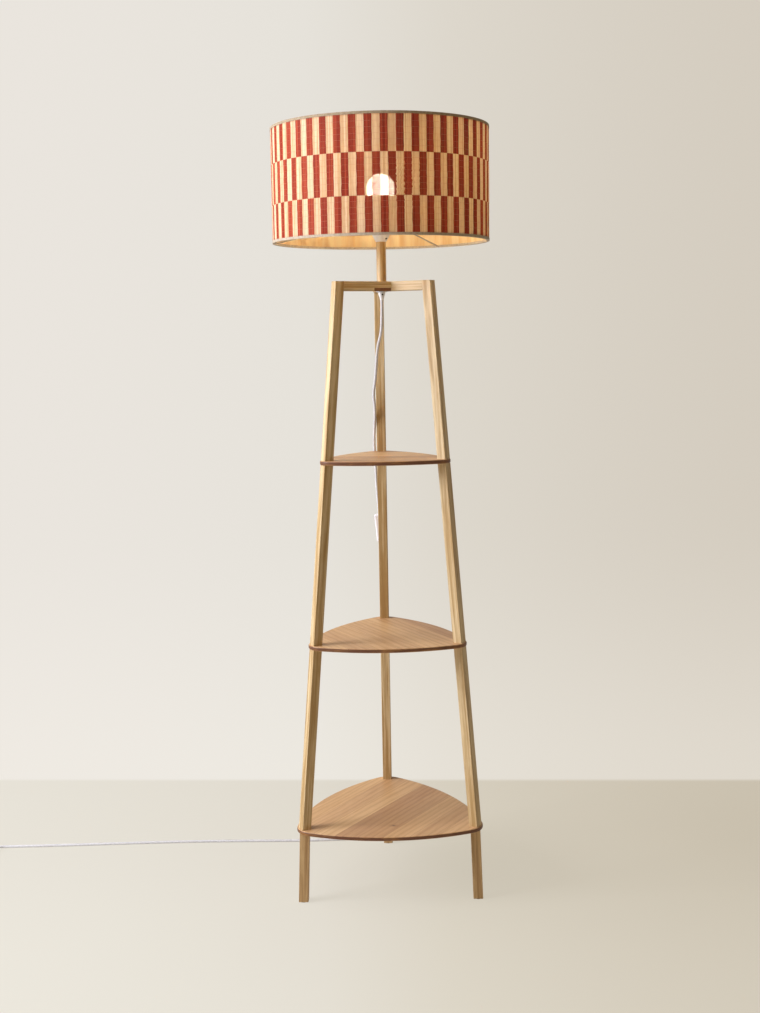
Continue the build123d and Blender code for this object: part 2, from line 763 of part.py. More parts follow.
def coil_corners():
    step = 360.0 / coil_points_per_turn
    corner_radius = coil_radius / cos(radians(step / 2))
    cx, cy = coil_centre
    base = floor_z + coil_lift
    path = [(-922.0, 180.4, floor_z), (-952.0, 180.4 - 30.0 * 5.0 / 84.0, floor_z),
            (-975.0, 178.0, base - 0.4)]
    for k in range(coil_points):
        angle = radians(90 + step / 2 + k * step)
        height = base + coil_pitch * k / coil_points_per_turn
        path.append((cx + corner_radius * cos(angle), cy + corner_radius * sin(angle), height))
    heading = 180 + coil_points * step
    x, y, height = path[-1]
    flat = plug_thickness / 2
    leave = ((25.0, -4.0, 27.5), (34.0, 6.0, 17.0), (36.0, 16.0, flat), (32.0, 24.0, flat))
    for run, bend, z in leave:
        x += run * cos(radians(heading + bend))
        y += run * sin(radians(heading + bend))
        path.append((x, y, z))
    return path, heading + leave[-1][1]


coil_path, plug_heading = coil_corners()
plug_start = coil_path[-1]
plug_plane = Plane(origin=plug_start, x_dir=(cos(radians(plug_heading)), sin(radians(plug_heading)), 0),
                   z_dir=(0, 0, 1))


def plugged(shape):
    return plug_plane.location * shape


def cord_coil():
    inside = plug_plane.location * Pos(relief_length - 3, 0, 0)
    end = inside.position
    return tube(coil_path[:-1] + [(end.X, end.Y, end.Z)], "cord_coil")


def cord_tie():
    """A flat band round the coil's turns."""
    strands = coil_points // coil_points_per_turn
    start_share = (tie_angle - 90) / 360
    lowest = floor_z + coil_lift + coil_pitch * start_share
    lowest -= coil_pitch * 0.5 / coil_points_per_turn
    highest = lowest + coil_pitch * (strands - 1)
    half = cord_radius + tie_room
    cx, cy = coil_centre
    outer = block(coil_radius - half - tie_thickness, coil_radius + half + tie_thickness, -tie_width / 2,
                  tie_width / 2, lowest - half - tie_thickness, highest + half + tie_thickness)
    outer = fillet(outer.edges().filter_by(Axis.Y), half)
    inner = block(coil_radius - half, coil_radius + half, -tie_width, tie_width, lowest - half,
                  highest + half)
    inner = fillet(inner.edges().filter_by(Axis.Y), half - 0.4)
    return Pos(cx, cy, 0) * turned(outer - inner, tie_angle)


def plug_relief():
    cone = Plane(origin=(0, 0, 0), z_dir=(1, 0, 0)).location * Cone(
        relief_tip_radius, relief_root_radius, relief_length, align=(Align.CENTER, Align.CENTER, Align.MIN))
    bore = bar_between((-1, 0, 0), (relief_length + 1, 0, 0), cord_radius + cord_gap)
    for k in range(4):
        x = 4 + 4.2 * k
        groove = block(x, x + 1.4, -9, 9, 2.9 + 0.25 * k, 9) + block(x, x + 1.4, -9, 9, -9, -2.9 - 0.25 * k)
        cone -= groove - bar_between((-1, 0, 0), (relief_length + 1, 0, 0), cord_radius + 0.7)
    return plugged(cone - bore)


def plug_body():
    x0, x1 = relief_length, relief_length + plug_length
    half = plug_width / 2
    nose = plug_nose_width / 2
    outline = [(x0, -7.5), (x0 + 7, -half), (x1 - 9, -half), (x1 - 5, -nose), (x1, -nose), (x1, nose),
               (x1 - 5, nose), (x1 - 9, half), (x0 + 7, half), (x0, 7.5)]
    body = slab(outline, -plug_thickness / 2, plug_thickness / 2)
    rims = [e for e in body.edges() if abs(e.tangent_at(0.5).Z) < 0.1]
    body = fillet(rims, 1.6)
    body -= bar_between((x0 - 1, 0, 0), (x0 + 8, 0, 0), cord_radius + cord_gap)
    for side in (-1, 1):
        y = side * pin_spacing / 2
        body -= bar_between((x1 - pin_root, y, 0), (x1 + 1, y, 0), pin_root_radius)
    return plugged(body)


def plug_pins():
    x1 = relief_length + plug_length
    made = []
    for side in (-1, 1):
        y = side * pin_spacing / 2
        pin = bar_between((x1, y, 0), (x1 + pin_length, y, 0), pin_radius)
        tip = [e for e in pin.edges() if e.center().X > x1 + pin_length - 0.1]
        pin = fillet(tip, 1.0) + bar_between((x1 - pin_root, y, 0), (x1 + 1, y, 0), pin_root_radius)
        made.append(plugged(pin))
    return made


# ---- write every sub-part

for name, angle in arm_directions.items():
    save(f"arm_{name}", arm(name))
    save(f"upper_leg_{name}", turned(upper_leg(), angle))
    save(f"middle_leg_{name}", turned(plain_leg(top_shelf_z, middle_shelf_z), angle))
    save(f"lower_leg_{name}", turned(plain_leg(middle_shelf_z, lower_shelf_z), angle))
    save(f"foot_{name}", foot(angle))

save("foot_glides", [turned(glide(), angle) for angle in arm_directions.values()])
save("arm_dowels", [turned(corner_dowel(), angle) for angle in arm_directions.values()])
save("leg_studs", studs())
save("leg_inserts", inserts())
save("top_shelf", shelf(top_shelf_z))
save("middle_shelf", shelf(middle_shelf_z))
save("bottom_shelf", shelf(lower_shelf_z))
save("pole", pole())
save("threaded_tube", threaded_tube())
save("hub_nut", hub_nut())
save("hub_washer", washer())
save("cord_gland", gland())
save("gland_screw", gland_screw())
save("inner_cord", inner_cord())
save("holder_cap", holder_cap())
save("holder_set_screw", holder_screw())
save("holder_core", holder_core())
save("holder_shell", holder_shell())
save("thread_sleeve", thread_sleeve())
save("centre_contact", centre_contact())
save("clamp_ring", clamp_ring())
save("shade_panel", shade_panel())
save("shade_top_ring", wire_ring(top_wire_z))
save("shade_bottom_ring", wire_ring(bottom_wire_z))
save("top_tape", edge_tape(shade_top, -1))
save("bottom_tape", edge_tape(shade_bottom, 1) - spokes())
save("fitter_ring", fitter_ring())
save("shade_spokes", spokes())
save("bulb_contact", bulb_contact())
save("bulb_cap", bulb_cap())
save("bulb_housing", bulb_housing())
save("bulb_globe", bulb_globe())
save("switch_lower_shell", switch_lower_shell())
save("switch_upper_shell", switch_upper_shell())
save("switch_rocker", rocker())
save("switch_contacts", switch_contacts())
save("switch_screws", switch_screws())
save("cord_upper", tube(upper_corners, "cord_upper"))
save("cord_lower", tube(lower_corners, "cord_lower"))
save("cord_coil", cord_coil())
save("cord_tie", cord_tie())
save("plug_relief", plug_relief())
save("plug_body", plug_body())
save("plug_pins", plug_pins())

pivot = switch_plane.from_local_coords(Vector(0, 0, pivot_height))
print("shade from", round(shade_bottom, 2), "to", round(shade_top, 2))
print("rocker pivot", [round(v, 3) for v in tuple(pivot)], "axis",
      [round(v, 5) for v in tuple(switch_plane.y_dir)])
pin_face = plug_plane.from_local_coords(Vector(relief_length + plug_length, 0, 0))
print("plug face", [round(v, 3) for v in tuple(pin_face)], "heading", round(plug_heading % 360, 3))
print("shelf corner reach", [round(leg_distance(z + shelf_thickness) + bar / 2 + shelf_overhang, 1)
                             for z in shelf_levels])
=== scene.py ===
import bpy
import math
import numpy as np
from mathutils import Matrix, Vector


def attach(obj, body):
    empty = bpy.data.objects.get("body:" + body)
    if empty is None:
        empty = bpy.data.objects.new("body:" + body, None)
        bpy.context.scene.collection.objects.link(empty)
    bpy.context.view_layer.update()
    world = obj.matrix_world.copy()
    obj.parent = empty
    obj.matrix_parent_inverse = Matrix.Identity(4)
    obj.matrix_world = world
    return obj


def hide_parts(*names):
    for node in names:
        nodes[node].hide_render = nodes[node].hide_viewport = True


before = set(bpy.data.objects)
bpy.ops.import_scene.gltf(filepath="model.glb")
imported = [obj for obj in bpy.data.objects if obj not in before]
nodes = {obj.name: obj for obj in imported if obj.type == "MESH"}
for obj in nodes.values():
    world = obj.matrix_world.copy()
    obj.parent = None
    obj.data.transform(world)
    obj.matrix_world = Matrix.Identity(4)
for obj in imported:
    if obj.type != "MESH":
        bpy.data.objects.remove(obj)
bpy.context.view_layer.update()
print("lamp: frame loaded,", len(nodes), "CAD nodes")


# helpers for colours, shader nodes and objects

def srgb(r, g, b):
    def linear(v):
        v /= 255.0
        return v / 12.92 if v <= 0.04045 else ((v + 0.055) / 1.055) ** 2.4
    return (linear(r), linear(g), linear(b), 1.0)


def startMaterial(name):
    material = bpy.data.materials.new(name)
    material.use_nodes = True
    material.node_tree.nodes.clear()
    return material, material.node_tree


# an input is either a plain value or the output of another node
def put(tree, kind, inputs=None, **settings):
    made = tree.nodes.new(kind)
    for key, value in settings.items():
        setattr(made, key, value)
    for key, term in (inputs or {}).items():
        if isinstance(term, bpy.types.NodeSocket):
            tree.links.new(term, made.inputs[key])
        else:
            made.inputs[key].default_value = term
    return made


def calc(tree, operation, *terms, clamp=False):
    return put(tree, "ShaderNodeMath", dict(enumerate(terms)), operation=operation,
               use_clamp=clamp).outputs[0]


def blendColour(tree, factor, a, b, mode="MIX"):
    return put(tree, "ShaderNodeMix", {0: factor, 6: a, 7: b}, data_type="RGBA",
               blend_type=mode).outputs[2]


def mixShaders(tree, factor, a, b):
    return put(tree, "ShaderNodeMixShader", {0: factor, 1: a, 2: b}).outputs[0]


def ramp(tree, factor, stops):
    made = put(tree, "ShaderNodeValToRGB", {0: factor})
    while len(made.color_ramp.elements) < len(stops):
        made.color_ramp.elements.new(0.5)
    for element, (position, colour) in zip(made.color_ramp.elements, stops):
        element.position = position
        element.color = colour
    return made.outputs[0]


def step(tree, value, low, high, toLow=0.0, toHigh=1.0):
    return put(tree, "ShaderNodeMapRange", {0: value, 1: low, 2: high, 3: toLow, 4: toHigh},
               interpolation_type="SMOOTHSTEP").outputs[0]


def noise(tree, vector, scale, detail=2.0, roughness=0.5, distortion=0.0):
    return put(tree, "ShaderNodeTexNoise", {"Vector": vector, "Scale": scale, "Detail": detail,
                                            "Roughness": roughness, "Distortion": distortion}).outputs[0]


def chanceOf(tree, number):
    return put(tree, "ShaderNodeTexWhiteNoise", {"W": number}, noise_dimensions="1D").outputs[0]


def objectPoint(tree):
    return put(tree, "ShaderNodeTexCoord").outputs["Object"]


def splitVector(tree, vector):
    return list(put(tree, "ShaderNodeSeparateXYZ", {0: vector}).outputs)


def joinVector(tree, x, y, z):
    return put(tree, "ShaderNodeCombineXYZ", {0: x, 1: y, 2: z}).outputs[0]


def bump(tree, height, distance, strength):
    return put(tree, "ShaderNodeBump", {"Strength": strength, "Distance": distance,
                                        "Height": height}).outputs[0]


# 0 in the middle of each strand or board, 0.5 at its sides
def fromMiddle(tree, place):
    return calc(tree, "ABSOLUTE", calc(tree, "SUBTRACT", calc(tree, "FRACT", place), 0.5))


# 1 for what the camera sees, straight on or by way of metal and glass
def seenRays(tree):
    rays = put(tree, "ShaderNodeLightPath").outputs
    seen = calc(tree, "ADD", rays["Is Camera Ray"], rays["Is Glossy Ray"], clamp=True)
    return calc(tree, "ADD", seen, rays["Is Transmission Ray"], clamp=True)


def surface(tree, inputs):
    return put(tree, "ShaderNodeBsdfPrincipled", inputs).outputs[0]


def closeMaterial(tree, shader):
    put(tree, "ShaderNodeOutputMaterial", {"Surface": shader})


def dress(name, material):
    mesh = nodes[name].data
    mesh.materials.clear()
    mesh.materials.append(material)


def newObject(name, data):
    made = bpy.data.objects.new(name, data)
    bpy.context.scene.collection.objects.link(made)
    return made


# camera, as in the photograph

photoView = {"at": (0.09179, -2.81138, 1.19735), "right": (0.9992989, 0.03435374, -0.01488358),
             "up": (0.01031272, 0.12958688, 0.99151444), "lens": 47.27, "sensor": 36.0, "reach": 60.0}

cameraData = bpy.data.cameras.new("photoCamera")
cameraData.sensor_fit = "AUTO"
cameraData.sensor_width = photoView["sensor"]
cameraData.lens = photoView["lens"]
cameraData.clip_end = photoView["reach"]
camera = newObject("photoCamera", cameraData)
sideways = Vector(photoView["right"]).normalized()
upwards = Vector(photoView["up"]).normalized()
backwards = sideways.cross(upwards).normalized()
turn = Matrix((sideways, upwards, backwards)).transposed().to_4x4()
camera.matrix_world = Matrix.Translation(photoView["at"]) @ turn
bpy.context.scene.camera = camera
bpy.context.scene.view_settings.view_transform = "Standard"
print("lamp: camera set")


# cord: the same route as the solid, in metres

cordLook = {"diameter": 0.006, "colour": srgb(216, 217, 219), "cloud": srgb(204, 205, 208),
            "roughness": 0.42, "mottle": 240.0, "fine": 2600.0, "depth": 0.00012,
            "bevelSteps": 5, "steps": 8}

switchPlace = {"centre": (-0.0156, 0.174845, 0.76), "up": (-0.094203, -0.088499, 0.991612)}


def alongSwitch(distance):
    return tuple(c + u * distance for c, u in zip(switchPlace["centre"], switchPlace["up"]))


upperRoute = [
    (0.0, 0.0, 1.266), (0.0, 0.0, 1.238), (-0.0024, 0.001, 1.196), (-0.011, 0.027, 1.172),
    (-0.0155, 0.062, 1.138), (-0.0195, 0.090, 1.097), (-0.0255, 0.104, 1.066), (-0.0215, 0.113, 1.033),
    (-0.0246, 0.128, 0.988), (-0.0265, 0.146, 0.950), (-0.025, 0.159, 0.915), (-0.0234, 0.167, 0.862),
    alongSwitch(0.054), alongSwitch(0.024)]

lowerRoute = [
    alongSwitch(-0.024), alongSwitch(-0.056), (-0.0088, 0.183, 0.650), (-0.0096, 0.1895, 0.592),
    (-0.010, 0.194, 0.540), (-0.0096, 0.1995, 0.468), (-0.0102, 0.2065, 0.392), (-0.0098, 0.2145, 0.315),
    (-0.0102, 0.2225, 0.238), (-0.0105, 0.229, 0.160), (-0.0115, 0.233, 0.084), (-0.016, 0.235, 0.003),
    (-0.090, 0.228, 0.003), (-0.165, 0.220, 0.003), (-0.240, 0.216, 0.003), (-0.325, 0.2154, 0.003),
    (-0.410, 0.2142, 0.003), (-0.497, 0.211, 0.003), (-0.583, 0.205, 0.003), (-0.668, 0.1982, 0.003),
    (-0.752, 0.1914, 0.003), (-0.838, 0.1854, 0.003), (-0.922, 0.1804, 0.003),
    (-0.952, 0.178614, 0.003), (-0.975, 0.178, 0.0038)]

# "leave" holds run, bend in degrees and height for each point of the lead to the plug
coil = {"centre": (-0.992, 0.1436), "radius": 0.034, "pitch": 0.0065, "points": 58, "perTurn": 14,
        "base": 0.0042, "leave": ((0.025, -4, 0.0275), (0.034, 6, 0.017), (0.036, 16, 0.0065),
                                  (0.051, 24, 0.0065))}


def coilRoute():
    stepAngle = 360.0 / coil["perTurn"]
    corner = coil["radius"] / math.cos(math.radians(stepAngle / 2))
    middleX, middleY = coil["centre"]
    route = []
    for k in range(coil["points"]):
        angle = math.radians(90 + stepAngle / 2 + k * stepAngle)
        route.append((middleX + corner * math.cos(angle), middleY + corner * math.sin(angle),
                      coil["base"] + coil["pitch"] * k / coil["perTurn"]))
    heading = 180 + coil["points"] * stepAngle
    x, y, _ = route[-1]
    for run, bend, height in coil["leave"]:
        x += run * math.cos(math.radians(heading + bend))
        y += run * math.sin(math.radians(heading + bend))
        route.append((x, y, height))
    return route


def cordMaterial():
    material, tree = startMaterial("cordJacket")
    point = objectPoint(tree)
    mottle = noise(tree, point, cordLook["mottle"], 3.0)
    tone = blendColour(tree, step(tree, mottle, 0.3, 0.7), cordLook["colour"], cordLook["cloud"])
    relief = bump(tree, noise(tree, point, cordLook["fine"]), cordLook["depth"], 0.4)
    closeMaterial(tree, surface(tree, {"Base Color": tone, "Roughness": cordLook["roughness"],
                                       "Normal": relief}))
    return material


jacket = cordMaterial()


def cordPiece(name, route, *replaced):
    curve = bpy.data.curves.new(name, "CURVE")
    curve.dimensions = "3D"
    curve.bevel_depth = cordLook["diameter"] / 2
    curve.bevel_resolution = cordLook["bevelSteps"]
    curve.resolution_u = cordLook["steps"]
    curve.use_fill_caps = True
    spline = curve.splines.new("NURBS")
    spline.points.add(len(route) - 1)
    for point, place in zip(spline.points, route):
        point.co = (*place, 1.0)
    spline.order_u = 3
    spline.use_endpoint_u = True
    curve.materials.append(jacket)
    piece = newObject(name, curve)
    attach(piece, "stand")
    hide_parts(*replaced)
    return piece


upperCord = cordPiece("upperCord", upperRoute, "cord_upper")
lowerCord = cordPiece("lowerCord", lowerRoute + coilRoute(), "cord_lower", "cord_coil")
print("lamp: cords laid")


# wood

barWood = {"light": srgb(222, 200, 156), "dark": srgb(174, 139, 84), "line": srgb(128, 90, 42),
           "roughness": (0.42, 0.58), "coat": 0.10, "streaks": 1.0, "grain": 95.0, "spread": (0.74, 1.40)}
# painted shade: the feet get a darker copy of the bar wood, for the shade under the bottom shelf
shadedFootWood = {"light": srgb(198, 165, 116), "dark": srgb(160, 124, 76), "line": srgb(120, 86, 46),
            "roughness": (0.44, 0.60), "coat": 0.08, "streaks": 1.2, "grain": 95.0, "spread": (0.74, 1.40)}
# the shelf's "edge" tones darken its side faces: partly end grain, partly painted shade
shelfWood = {"light": srgb(204, 169, 126), "dark": srgb(174, 134, 92), "line": srgb(140, 96, 56),
             "roughness": (0.42, 0.58), "coat": 0.05, "streaks": 0.10, "grain": 42.0, "spread": (0.55, 1.62),
             "boardWidth": 0.046, "pale": (1.22, 1.22, 1.16, 1.0), "pink": (0.92, 0.82, 0.76, 1.0),
             "seam": (0.484, 0.498), "seamShare": 0.5, "edge": (srgb(88, 42, 8), srgb(142, 94, 42)),
             "edgeCloud": 26.0, "edgeTurn": (0.35, 0.88), "endGrainAndShadeShare": 0.94}

# "stretch" is how much slower each layer changes along the wood than across it
woodGrain = {"stretch": {"fibres": 0.05, "lines": 0.022, "pores": 0.018, "broad": 0.12},
             "scale": {"fibres": 640.0, "lines": 270.0, "pores": 1700.0, "patches": 16.0, "rings": 22.0},
             "weight": {"fibres": 0.5, "streaks": 0.9, "patches": 0.6, "rings": 0.18},
             "pore": (0.60, 0.74), "poreShare": 0.35, "lateWood": (0.80, 0.99), "lateShare": 0.16,
             "coatRoughness": 0.35, "depth": 0.0002}

knot = {"on": "bottom_shelf", "at": (0.012, -0.097), "squash": 1.3, "core": (0.0022, 0.0062),
        "coreShare": 0.85, "halo": (0.004, 0.016), "haloShare": 0.4, "tone": srgb(92, 58, 34)}

# painted shade on the right arm's tongue, in the recess under the joint, below and within these bounds
tongue = {"on": "right", "below": (1.2905, 1.2910), "within": (0.0195, 0.0205), "share": 0.88,
          "recessShade": srgb(120, 64, 14)}

# legs and feet lean by so many degrees; a shelf has the angle of its boards and where they are cut
stand = {"sides": {"rear": 90.0, "left": 210.0, "right": 330.0}, "legSplay": 5.1, "footSplay": 2.3,
         "shelves": {"top_shelf": (0.0, 0.11), "middle_shelf": (120.0, 0.47), "bottom_shelf": (60.0, 0.83)}}


def drawnOut(tree, x, y, z, share):
    return joinVector(tree, x, y, calc(tree, "MULTIPLY", z, share))


def woodMaterial(name, look, along, shift, roll=0.0, knotted=False, recessShaded=False):
    material, tree = startMaterial(name)
    coordinates = put(tree, "ShaderNodeTexCoord").outputs
    point = coordinates["Object"]
    straighten = Vector(along).normalized().rotation_difference(Vector((0, 0, 1)))
    straighten = (Matrix.Rotation(roll, 3, "Z") @ straighten.to_matrix()).to_euler("XYZ")
    turned = put(tree, "ShaderNodeMapping", {"Vector": point, "Rotation": tuple(straighten),
                                             "Location": (shift, shift * 0.7, shift * 2.3)}).outputs[0]
    x, y, z = splitVector(tree, turned)
    px, py, pz = splitVector(tree, point)
    boards = "boardWidth" in look
    if boards:
        # boards lie side by side along local Y, which stays in the shelf's plane
        place = calc(tree, "DIVIDE", y, look["boardWidth"])
        chance = chanceOf(tree, calc(tree, "FLOOR", place))
        y = calc(tree, "MULTIPLY_ADD", chance, 0.37, y)
        z = calc(tree, "MULTIPLY_ADD", chance, 1.9, z)

    stretch, scale, weight = woodGrain["stretch"], woodGrain["scale"], woodGrain["weight"]
    stretched = drawnOut(tree, x, y, z, stretch["fibres"])
    broad = drawnOut(tree, x, y, z, stretch["broad"])
    streaks = noise(tree, stretched, look["grain"], 4.0, 0.55, 0.4)
    lines = noise(tree, drawnOut(tree, x, y, z, stretch["lines"]), scale["lines"], 2.0, 0.5, 0.2)
    fibres = noise(tree, stretched, scale["fibres"], 6.0, 0.62)
    pores = noise(tree, drawnOut(tree, x, y, z, stretch["pores"]), scale["pores"], 3.0)
    patches = noise(tree, broad, scale["patches"], 3.0)
    rings = put(tree, "ShaderNodeTexWave",
                {"Vector": broad, "Scale": scale["rings"], "Distortion": 9.0, "Detail": 3.0,
                 "Detail Scale": 0.8, "Detail Roughness": 0.55},
                wave_type="BANDS", bands_direction="Y", wave_profile="SIN").outputs[1]
    tone = calc(tree, "MULTIPLY", fibres, weight["fibres"])
    for layer, share in ((streaks, weight["streaks"]), (patches, weight["patches"]),
                         (rings, weight["rings"]), (calc(tree, "SUBTRACT", lines, 0.5), look["streaks"])):
        tone = calc(tree, "MULTIPLY_ADD", layer, share, tone)
    colour = blendColour(tree, step(tree, tone, *look["spread"]), look["light"], look["dark"])
    pore = step(tree, pores, *woodGrain["pore"])
    colour = blendColour(tree, calc(tree, "MULTIPLY", pore, woodGrain["poreShare"]), colour, look["line"])
    late = step(tree, rings, *woodGrain["lateWood"])
    colour = blendColour(tree, calc(tree, "MULTIPLY", late, woodGrain["lateShare"]), colour, look["line"])

    if boards:
        tint = blendColour(tree, step(tree, chance, 0.15, 0.85), look["pink"], look["pale"])
        colour = blendColour(tree, 1.0, colour, tint, "MULTIPLY")
        seam = calc(tree, "MULTIPLY", step(tree, fromMiddle(tree, place), *look["seam"]), look["seamShare"])
        colour = blendColour(tree, seam, colour, look["line"])
        # the side faces show end grain and painted shade: darkened by which way they face, paler where a
        # board's side comes out
        upright = calc(tree, "ABSOLUTE", splitVector(tree, coordinates["Normal"])[2])
        side = calc(tree, "MULTIPLY", step(tree, upright, *look["edgeTurn"], 1.0, 0.0), look["endGrainAndShadeShare"])
        edgePoint = put(tree, "ShaderNodeMapping", {"Vector": point, "Scale": (1.0, 1.0, 7.0)}).outputs[0]
        edgeCloud = noise(tree, edgePoint, look["edgeCloud"], 4.0, 0.6)
        endGrainAndShadeTone = blendColour(tree, step(tree, edgeCloud, 0.46, 0.72), *look["edge"])
        colour = blendColour(tree, side, colour, endGrainAndShadeTone)
    if knotted:
        dx = calc(tree, "SUBTRACT", px, knot["at"][0])
        dy = calc(tree, "MULTIPLY", calc(tree, "SUBTRACT", py, knot["at"][1]), knot["squash"])
        squares = [calc(tree, "MULTIPLY", term, term) for term in (dx, dy)]
        away = calc(tree, "SQRT", calc(tree, "ADD", *squares))
        away = calc(tree, "MULTIPLY_ADD", fibres, 0.002, away)
        halo = step(tree, away, *knot["halo"], knot["haloShare"], 0.0)
        core = calc(tree, "MULTIPLY", step(tree, away, *knot["core"], 1.0, 0.0), knot["coreShare"])
        colour = blendColour(tree, halo, colour, look["line"])
        colour = blendColour(tree, core, colour, knot["tone"])
    if recessShaded:
        # painted shade: the tongue in the recess under the joint is darkened as if shaded by the arm above
        # it
        below = step(tree, pz, *tongue["below"], 1.0, 0.0)
        near = step(tree, px, *tongue["within"], 1.0, 0.0)
        recessShadeShare = calc(tree, "MULTIPLY", calc(tree, "MULTIPLY", below, near), tongue["share"])
        colour = blendColour(tree, recessShadeShare, colour, tongue["recessShade"])

    rough = step(tree, fibres, 0.3, 0.7, *look["roughness"])
    height = calc(tree, "SUBTRACT", calc(tree, "MULTIPLY", fibres, 0.5), calc(tree, "MULTIPLY", pore, 0.6))
    relief = bump(tree, height, woodGrain["depth"], 0.4)
    closeMaterial(tree, surface(tree, {"Base Color": colour, "Roughness": rough, "Normal": relief,
                                       "Coat Weight": look["coat"],
                                       "Coat Roughness": woodGrain["coatRoughness"]}))
    return material


# every piece is cut from another place in the wood and turned another way
legSlope = math.tan(math.radians(stand["legSplay"]))
footSlope = math.tan(math.radians(stand["footSplay"]))
for index, (side, angle) in enumerate(stand["sides"].items()):
    c, s = math.cos(math.radians(angle)), math.sin(math.radians(angle))
    legWay = (-legSlope * c, -legSlope * s, 1.0)
    footWay = (-footSlope * c, -footSlope * s, 1.0)
    for order, part in enumerate(("upper_leg", "middle_leg", "lower_leg")):
        dress(f"{part}_{side}", woodMaterial(f"wood_{part}_{side}", barWood, legWay,
                                             0.13 * index + 0.41 * order, 0.5 * index + order))
    dress(f"arm_{side}", woodMaterial(f"wood_arm_{side}", barWood, (c, s, 0.0), 0.31 + 0.17 * index, 1.0,
                                      recessShaded=side == tongue["on"]))
    dress(f"foot_{side}", woodMaterial(f"wood_foot_{side}", shadedFootWood, footWay, 0.57 + 0.21 * index,
                                       0.8 * index))
dress("pole", woodMaterial("wood_pole", barWood, (0, 0, 1), 0.77, 0.4))
dress("arm_dowels", woodMaterial("wood_dowels", barWood, (1, 0, 0), 0.2))
for name, (angle, shift) in stand["shelves"].items():
    way = (math.cos(math.radians(angle)), math.sin(math.radians(angle)), 0.0)
    dress(name, woodMaterial("wood_" + name, shelfWood, way, shift, -math.radians(angle),
                             knotted=name == knot["on"]))
print("lamp: wood finished")


# plastics, metals and small parts

plastics = {
    "holderPlastic": {"tones": (srgb(247, 246, 245), srgb(240, 239, 237)), "roughness": 0.32, "coat": 0.15,
                      "pieces": ("cord_gland", "holder_cap", "holder_shell", "clamp_ring")},
    "switchPlastic": {"tones": (srgb(236, 235, 238), srgb(228, 227, 231)), "roughness": 0.36,
                      "pieces": ("switch_lower_shell", "switch_upper_shell")},
    "rockerPlastic": {"tones": (srgb(226, 225, 228), srgb(217, 216, 220)), "roughness": 0.28,
                      "pieces": ("switch_rocker",)},
    "plugPlastic": {"tones": (srgb(238, 234, 226), srgb(230, 225, 215)), "roughness": 0.48,
                    "grain": 1400.0, "depth": 0.0001, "pieces": ("plug_body", "plug_relief")},
    "tiePlastic": {"tones": (srgb(226, 225, 221), srgb(214, 213, 208)), "roughness": 0.35,
                   "pieces": ("cord_tie",)},
    "glidePlastic": {"tones": (srgb(110, 88, 66), srgb(98, 78, 58)), "roughness": 0.6,
                     "pieces": ("foot_glides",)},
    "coreCeramic": {"tones": (srgb(232, 229, 220), srgb(221, 217, 206)), "roughness": 0.55,
                    "grain": 2200.0, "pieces": ("holder_core",)},
    "bulbPlastic": {"tones": (srgb(240, 239, 236), srgb(233, 232, 228)), "roughness": 0.4,
                    "pieces": ("bulb_housing",)},
    "wirePaint": {"tones": (srgb(196, 184, 164), srgb(176, 162, 140)), "roughness": 0.4,
                  "pieces": ("shade_top_ring", "shade_bottom_ring", "shade_spokes", "fitter_ring")}}

metals = {
    "zincSteel": {"tones": (srgb(200, 200, 202), srgb(172, 172, 176)), "roughness": 0.34,
                  "pieces": ("threaded_tube", "hub_nut", "hub_washer", "leg_studs", "switch_screws")},
    "pinNickel": {"tones": (srgb(214, 211, 204), srgb(196, 193, 186)), "roughness": 0.2,
                  "pieces": ("plug_pins",)},
    "contactBrass": {"tones": (srgb(214, 178, 104), srgb(188, 150, 82)), "roughness": 0.3,
                     "pieces": ("leg_inserts", "thread_sleeve", "centre_contact", "switch_contacts")},
    "darkScrew": {"tones": (srgb(44, 42, 40), srgb(28, 27, 26)), "roughness": 0.42,
                  "pieces": ("gland_screw", "holder_set_screw")},
    "capMetal": {"tones": (srgb(206, 205, 202), srgb(184, 182, 178)), "roughness": 0.3,
                 "pieces": ("bulb_cap", "bulb_contact")}}


def plasticMaterial(name, look):
    material, tree = startMaterial(name)
    point = objectPoint(tree)
    cloud = noise(tree, point, 60.0, 3.0)
    tone = blendColour(tree, step(tree, cloud, 0.35, 0.65), *look["tones"])
    relief = bump(tree, noise(tree, point, look.get("grain", 900.0)), look.get("depth", 0.00006), 0.35)
    closeMaterial(tree, surface(tree, {"Base Color": tone, "Roughness": look["roughness"],
                                       "Coat Weight": look.get("coat", 0.0), "Normal": relief}))
    return material


def metalMaterial(name, look):
    material, tree = startMaterial(name)
    marks = noise(tree, drawnOut(tree, *splitVector(tree, objectPoint(tree)), 9.0), 500.0, 4.0)
    tone = blendColour(tree, step(tree, marks, 0.35, 0.7), *look["tones"])
    rough = step(tree, marks, 0.3, 0.7, look["roughness"] - 0.06, look["roughness"] + 0.1)
    closeMaterial(tree, surface(tree, {"Metallic": 1.0, "Base Color": tone, "Roughness": rough,
                                       "Normal": bump(tree, marks, 0.00004, 0.4)}))
    return material


for makeMaterial, looks in ((plasticMaterial, plastics), (metalMaterial, metals)):
    for name, look in looks.items():
        material = makeMaterial(name, look)
        for piece in look["pieces"]:
            dress(piece, material)
dress("inner_cord", jacket)
print("lamp: plastics and metals finished")


# bulb, lit

bulbLook = {"middle": (1.0, 0.86, 0.66, 1.0), "rim": (1.0, 0.74, 0.44, 1.0), "glass": srgb(250, 244, 232),
            "roughness": 0.45, "strength": 55.0, "seenStrength": 150.0}


